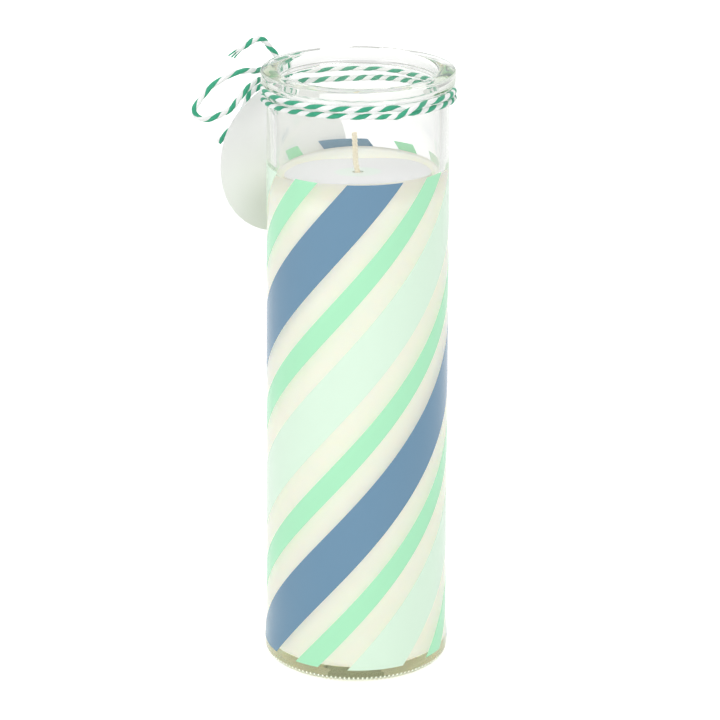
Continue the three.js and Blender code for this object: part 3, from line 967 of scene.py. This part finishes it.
def copyTurned(piece, name, degrees):
    pick(piece)
    bpy.ops.object.duplicate()
    copy = bpy.context.object
    copy.name = name
    copy.rotation_euler.z = math.radians(degrees)
    settle(copy)
    return copy


def printStripes():
    kinds = [
        ("blueStripe", "blue_stripe", "blue_ink", stripes["wide"], 0, blueInk, 2),
        ("paleStripe", "pale_stripe", "pale_ink", stripes["wide"], 2, paleInk, 2),
        ("mintStripe", "mint_stripe", "mint_ink", stripes["narrow"], 1, mintInk, 4),
    ]
    for name, node, slot, width, index, material, copies in kinds:
        first = layStripe(f"{name}1", width, index, material)
        bands = [first]
        for i in range(1, copies):
            # The next stripe of a kind stands higher at the front, which is a turn backwards.
            bands.append(copyTurned(first, f"{name}{i + 1}", -360 * i / copies))
        for i, band in enumerate(bands):
            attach(band, "jar")
            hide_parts(f"{node}_{i + 1}")


printStripes()
print("stripes printed")


# Wax
wax = {
    "top": 169.3,
    "topRadii": (20, 15, 10, 6, 3.5, 2),
    "wallHeights": (60, 110, 160),
    "sides": 160,
    "creep": 1.7,
    "creepWidth": 2.2,
    "creepCurve": 2.2,
    "creepSteps": 8,
    "slant": math.radians(5),
    "slantYaw": math.radians(16),
    "film": 2.6,          # how much higher the wax clings to the back of the wall
    "filmYaw": math.radians(182),
    "filmWidth": math.radians(95),
    "touch": 0.02,        # how far it reaches into the glass, so that no air shows between them
    "bore": 1.35,
    "boreDrop": 0.15,
    "skin": 0.2,          # what lies no deeper than this under the top is slanted with it
    "plateRadius": 10.3,
    "plateTop": 7.6,
    "crimpRadius": 2.7,
    "crimpTop": 13.8,
}


def waxRise(x, y):  # how far the slanted top stands above its middle
    slope = math.tan(wax["slant"])
    return slope * (x * math.sin(wax["slantYaw"]) - y * math.cos(wax["slantYaw"]))


def waxFilm(x, y):
    reach = math.hypot(x, y) / mm - innerRadius(wax["top"]) + wax["creepWidth"]
    clinging = max(0, reach) / wax["creepWidth"]
    away = abs((math.atan2(x, -y) - wax["filmYaw"] + math.pi) % (2 * math.pi) - math.pi)
    width = max(0, 1 - away / wax["filmWidth"])
    return wax["film"] * mm * min(1, clinging) ** 5 * (3 - 2 * width) * width * width


def makeWax():
    bottom = jar["floor"] - wax["touch"]
    corner = jar["floorCorner"]
    edge = innerRadius(bottom + corner) + wax["touch"] - corner
    topEdge = innerRadius(wax["top"]) + wax["touch"]
    rings = [(wax["plateRadius"], bottom)]
    rings += roundedRings(edge, bottom + corner, corner, corner, -90, 0, 10)
    rings += [(innerRadius(h) + wax["touch"], h) for h in wax["wallHeights"]]
    for i in range(wax["creepSteps"] + 1):
        share = i / wax["creepSteps"]
        height = wax["top"] + wax["creep"] * (1 - share) ** wax["creepCurve"]
        rings.append((topEdge - wax["creepWidth"] * share, height))
    rings += [(radius, wax["top"]) for radius in wax["topRadii"]]
    rings += [
        (wax["bore"], wax["top"] - wax["boreDrop"]),
        (wax["bore"], wax["crimpTop"]),
        (wax["crimpRadius"], wax["crimpTop"]),
        (wax["crimpRadius"], wax["plateTop"]),
        (wax["plateRadius"], wax["plateTop"]),
    ]
    piece = turnRings("candleWax", rings, wax["sides"], joined=True)
    for vertex in piece.data.vertices:
        x, y, z = vertex.co
        if z > (wax["top"] - wax["skin"]) * mm:
            vertex.co.z += waxRise(x, y) + waxFilm(x, y)
    piece.data.materials.append(candleWax)
    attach(piece, "jar")
    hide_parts("wax_fill")


makeWax()
print("wax poured")


# Wick
wick = {
    "strand": 0.45,
    "halfWidth": 0.54,
    "halfDepth": 0.22,
    "lay": 4.2,
    "bottom": 7.2,
    "shown": 13.7,
    "bend": 4,
    "bent": 0.65,         # the share of the lean that lies below the bend
    "lean": 1.2,
    "points": 420,
}


def wickMiddle(height):
    bend = wax["top"] + wick["bend"]
    tip = wax["top"] + wick["shown"]
    if height < wax["top"]:
        return 0
    if height < bend:
        return -wick["lean"] * wick["bent"] * (height - wax["top"]) / wick["bend"]
    return -wick["lean"] * (wick["bent"] + (1 - wick["bent"]) * (height - bend) / (tip - bend))


def makeWick():  # three strands in a flat braid
    tip = wax["top"] + wick["shown"]
    strands = []
    count = wick["points"]
    for turn in range(3):
        line = []
        for i in range(count + 1):
            height = wick["bottom"] + (tip - wick["bottom"]) * i / count
            angle = 2 * math.pi * (height / wick["lay"] + turn / 3)
            line.append(Vector((
                wickMiddle(height) + wick["halfWidth"] * math.sin(angle),
                wick["halfDepth"] * math.sin(2 * angle),
                height,
            )) * mm)
        radii = [wick["strand"] * mm] * (count + 1)
        strands.append(strand("wickStrand", line, radii, braidCotton, 2))
    piece = joinPieces("braidedWick", strands)
    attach(piece, "jar")
    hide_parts("wick")


makeWick()
print("wick braided")


# Dust cover
cover = {
    "radius": 24,
    "hole": 1.9,
    "thickness": 0.35,
    "lift": 0.3,
    "curl": 0.5,
    "curlFrom": 14,       # the radius at which the edge begins to rise
    "steps": 12,
    "sides": 144,
}


def makeCover():
    steps = cover["steps"]
    paper = cover["radius"] - cover["hole"]
    radii = [cover["hole"] + paper * i / steps for i in range(steps + 1)]
    rings = [(radius, 0) for radius in radii]
    rings += [(radius, cover["thickness"]) for radius in reversed(radii)]
    piece = turnRings("dustCoverPaper", rings, cover["sides"], joined=True)
    for vertex in piece.data.vertices:
        radius = math.hypot(vertex.co.x, vertex.co.y) / mm
        azimuth = math.atan2(vertex.co.y, vertex.co.x)
        share = (radius - cover["curlFrom"]) / (cover["radius"] - cover["curlFrom"])
        curl = cover["curl"] * max(0, share) ** 2
        vertex.co.z += curl * (0.5 - 0.5 * math.cos(4 * azimuth)) * mm
    slope = math.tan(wax["slant"])
    yaw = wax["slantYaw"]
    normal = Vector((-slope * math.sin(yaw), slope * math.cos(yaw), 1)).normalized()
    piece.rotation_mode = "QUATERNION"
    piece.rotation_quaternion = Vector((0, 0, 1)).rotation_difference(normal)
    piece.location.z = (wax["top"] + cover["lift"]) * mm
    settle(piece)
    bpy.ops.object.shade_smooth_by_angle(angle=math.radians(40))
    piece.data.materials.append(coverPaper)
    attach(piece, "cover")
    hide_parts("dust_cover")


makeCover()
print("dust cover laid")


# The nodes that keep the model's shape
def dressNode(node, material):
    piece = bpy.data.objects[node]
    piece.data.materials.clear()
    piece.data.materials.append(material)


dressNode("hang_tag", tagCard)
dressNode("wick_foot", footTin)
dressNode("wick_pad", padFoam)
print("tag, foot and pad dressed")


# Floor, world and lamps
studio = {
    "floor": 3,
    "floorShade": (0.86, 0.86, 0.86, 1),
    "footShade": (20, 30),       # millimetres from the axis: where the painted shade on the floor under the foot ends
    # the olive tint of the painted shade under the foot
    "footShadeTone": (0.96, 0.92, 0.55, 1),
    "seenLift": (0.3, 0.42),     # the floor's own light under the foot and past it, lower under the foot for a painted shade: seen directly, through the glass or mirrored, and by matt surfaces, higher under the foot: a painted glow that lights the base from below
    "glassLift": (0.3, 0.42),    # through the glass or mirrored,
    "mattLift": (0.23, 0.12),    # and by matt surfaces
    "sideShade": (0.12, 0.65),   # metres to either side over which light seen through glass fades
    "farFloor": (0.4, 1.1),      # metres away over which the floor seen directly turns white
    "sky": 0.5,
    "front": 0.85,
    "frontSpan": (-0.9, 0.6),
    "ceiling": 0.6,
    "ceilingSpan": (0.1, 0.9),
    "key": {"place": (0.7, -1.0, 1.1), "size": 0.9, "watts": 7.3},
    "fill": {"place": (-0.9, -0.7, 0.7), "size": 0.8, "watts": 4.3},
    "top": {"place": (-0.1, 0.3, 1.2), "size": 1.0, "watts": 3.4},
}


def makeFloor():
    deselectAll()
    bpy.ops.mesh.primitive_plane_add(size=studio["floor"])
    ground = bpy.context.object
    ground.name = "studioFloor"
    settle(ground)
    material, tree, shader = newMaterial("studioPaper")
    place = addNode(tree, "TexCoord").outputs["Object"]
    away = addNode(tree, "VectorMath", {0: place}, operation="LENGTH").outputs["Value"]
    foot = [edge * mm for edge in studio["footShade"]]
    # The floor is clear of the painted shade, which is 1, past the foot.
    clear = spread(tree, away, *foot, interpolation_type="SMOOTHSTEP")
    path = addNode(tree, "LightPath").outputs
    # Seen through the glass, the sides darken.
    across = addNode(tree, "SeparateXYZ", {"Vector": place}).outputs["X"]
    fade = spread(tree, calculate(tree, "ABSOLUTE", across), *studio["sideShade"], 1, 0)
    kept = blend(tree, path["Is Transmission Ray"], 1, fade)
    mirrored = calculate(tree, "MULTIPLY", path["Is Glossy Ray"], kept)
    # Seen directly, the far parts shine more, because the lamps give them less light.
    far = spread(tree, away, *studio["farFloor"], studio["seenLift"][1], 1)
    total = 0
    for ray, under, past in (
        (path["Is Camera Ray"], studio["seenLift"][0], far),
        (mirrored, *studio["glassLift"]),
        (path["Is Diffuse Ray"], *studio["mattLift"]),
    ):
        total = calculate(tree, "MULTIPLY_ADD", blend(tree, clear, under, past), ray, total)
    feed(shader, {
        "Base Color": studio["floorShade"],
        "Roughness": 1,
        "Specular IOR Level": 0,
        # Under the foot the floor's light is tinted olive: a painted shade.
        "Emission Color": blend(tree, clear, studio["footShadeTone"], (1, 1, 1, 1), "RGBA"),
        "Emission Strength": total,
    })
    ground.data.materials.append(material)


def makeWorld():
    world = bpy.data.worlds.new("studioWorld")
    bpy.context.scene.world = world
    world.use_nodes = True
    tree = world.node_tree
    path = addNode(tree, "LightPath").outputs
    place = addNode(tree, "TexCoord").outputs["Generated"]
    parts = addNode(tree, "SeparateXYZ", {"Vector": place}).outputs
    depth = spread(tree, parts["Y"], *studio["frontSpan"], studio["front"], 1)
    height = spread(tree, parts["Z"], *studio["ceilingSpan"], 1, studio["ceiling"])
    room = calculate(tree, "MULTIPLY", depth, height)
    seen = calculate(tree, "MAXIMUM", path["Is Glossy Ray"], path["Is Transmission Ray"])
    level = blend(tree, seen, studio["sky"], room)
    final = blend(tree, path["Is Camera Ray"], level, 1)
    feed(tree.nodes["Background"], {"Color": (1, 1, 1, 1), "Strength": final})


def makeLamp(name):
    facts = studio[name]
    light = bpy.data.lights.new(f"{name}Lamp", "AREA")
    light.shape = "SQUARE"
    light.size = facts["size"]
    light.energy = facts["watts"]
    lamp = bpy.data.objects.new(f"{name}Lamp", light)
    bpy.context.scene.collection.objects.link(lamp)
    place = Vector(facts["place"])
    aim = Vector((0, 0, jar["height"] * mm / 2)) - place
    turn = aim.to_track_quat("-Z", "Y").to_matrix().to_4x4()
    lamp.matrix_world = Matrix.Translation(place) @ turn


makeFloor()
makeWorld()
for lampName in ("key", "fill", "top"):
    makeLamp(lampName)
bpy.context.scene.view_settings.view_transform = "Standard"
print("studio set")
